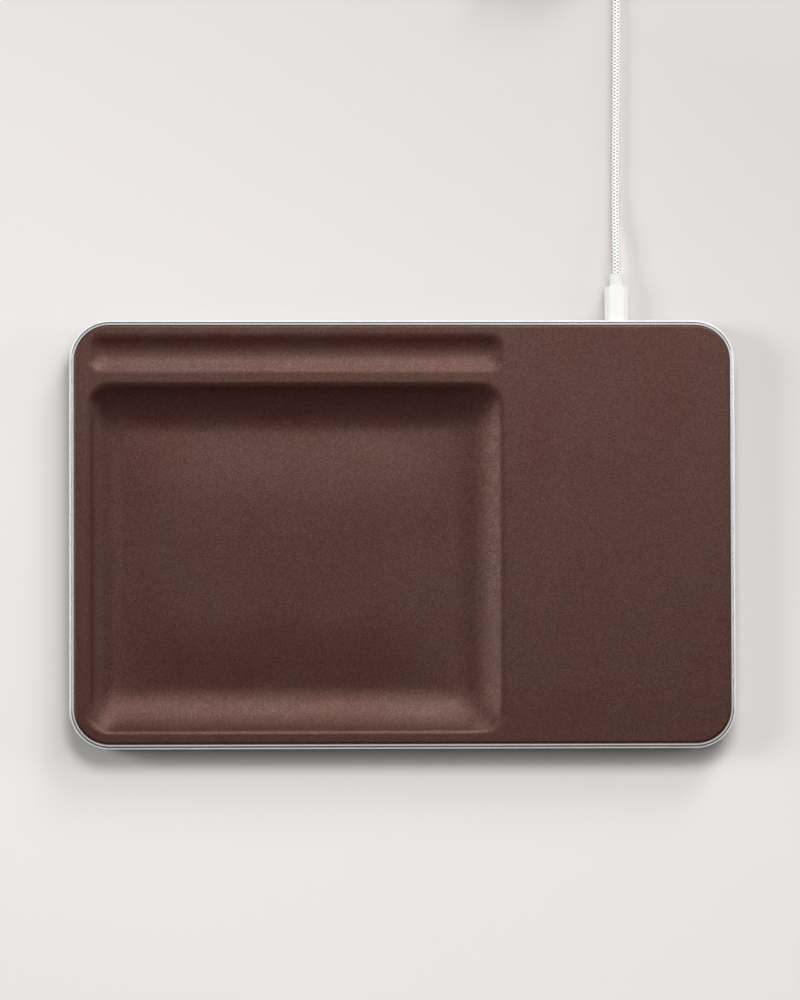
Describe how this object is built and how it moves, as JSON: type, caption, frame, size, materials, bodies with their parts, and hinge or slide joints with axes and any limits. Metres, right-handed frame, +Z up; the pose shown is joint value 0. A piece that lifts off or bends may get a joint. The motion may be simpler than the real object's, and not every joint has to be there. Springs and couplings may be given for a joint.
{
  "type": "charging station organizer",
  "caption": "Slim leather-topped valet tray with a catch-all recess, a pen groove and a wireless charging pad, on a metal base, with a braided USB cable.",
  "frame": {"origin": "middle of the tray on the surface that it stands on", "axes": "+X along the length, towards the charging pad; +Y to the back, where the cable leaves; +Z up"},
  "size_m": [0.272, 0.3802, 0.0176],
  "materials": {
    "anodised_aluminium": "satin, fine bead-blasted",
    "leather": "soft semi-matte, fine grain",
    "core_plastic": "moulded, matte",
    "silicone": "matte",
    "screw_steel": "machined",
    "coil_copper": "enamelled wire",
    "ferrite": "sintered, matte",
    "board": "solder mask",
    "chip_black": "moulded, matte",
    "capacitor_tan": "ceramic",
    "inductor_grey": "pressed powder",
    "lead_insulation": "insulated wire",
    "plug_steel": "nickel plated",
    "plug_white": "smooth moulded",
    "port_insulator": "moulded",
    "braid": "woven polyester braid",
    "strap": "woven strap"
  },
  "bodies": {
    "tray": {"base_shell": "anodised_aluminium", "bezel_ring": "anodised_aluminium", "tray_core": "core_plastic", "leather_cover": "leather", "foot_front_left": "silicone", "foot_front_right": "silicone", "foot_back_left": "silicone", "foot_back_right": "silicone", "base_screws": "screw_steel", "coil_lower_front": "coil_copper", "coil_lower_back": "coil_copper", "coil_upper": "coil_copper", "ferrite_sheet": "ferrite", "coil_carrier": "core_plastic", "carrier_screws": "screw_steel", "coil_leads": "lead_insulation", "circuit_board": "board", "board_screws": "screw_steel", "controller_chip": "chip_black", "bridge_chips": "chip_black", "resonant_capacitors": "capacitor_tan", "power_inductor": "inductor_grey", "usb_receptacle_shell": "plug_steel", "usb_receptacle_tongue": "port_insulator"},
    "cable": {"plug_shell": "plug_steel", "plug_housing": "plug_white", "plug_collar": "plug_white", "cable_lead": "braid", "cable_coil": "braid", "coil_tie": "strap", "cable_tail": "braid", "usb_a_collar": "plug_white", "usb_a_housing": "plug_white", "usb_a_shell": "plug_steel", "usb_a_tongue": "plug_white"}
  },
  "joints": [
    {"name": "plug_slide", "type": "slide", "parent": "tray", "child": "cable", "axis": [0, 1, 0], "range_m": [0, 0.012]}
  ]
}
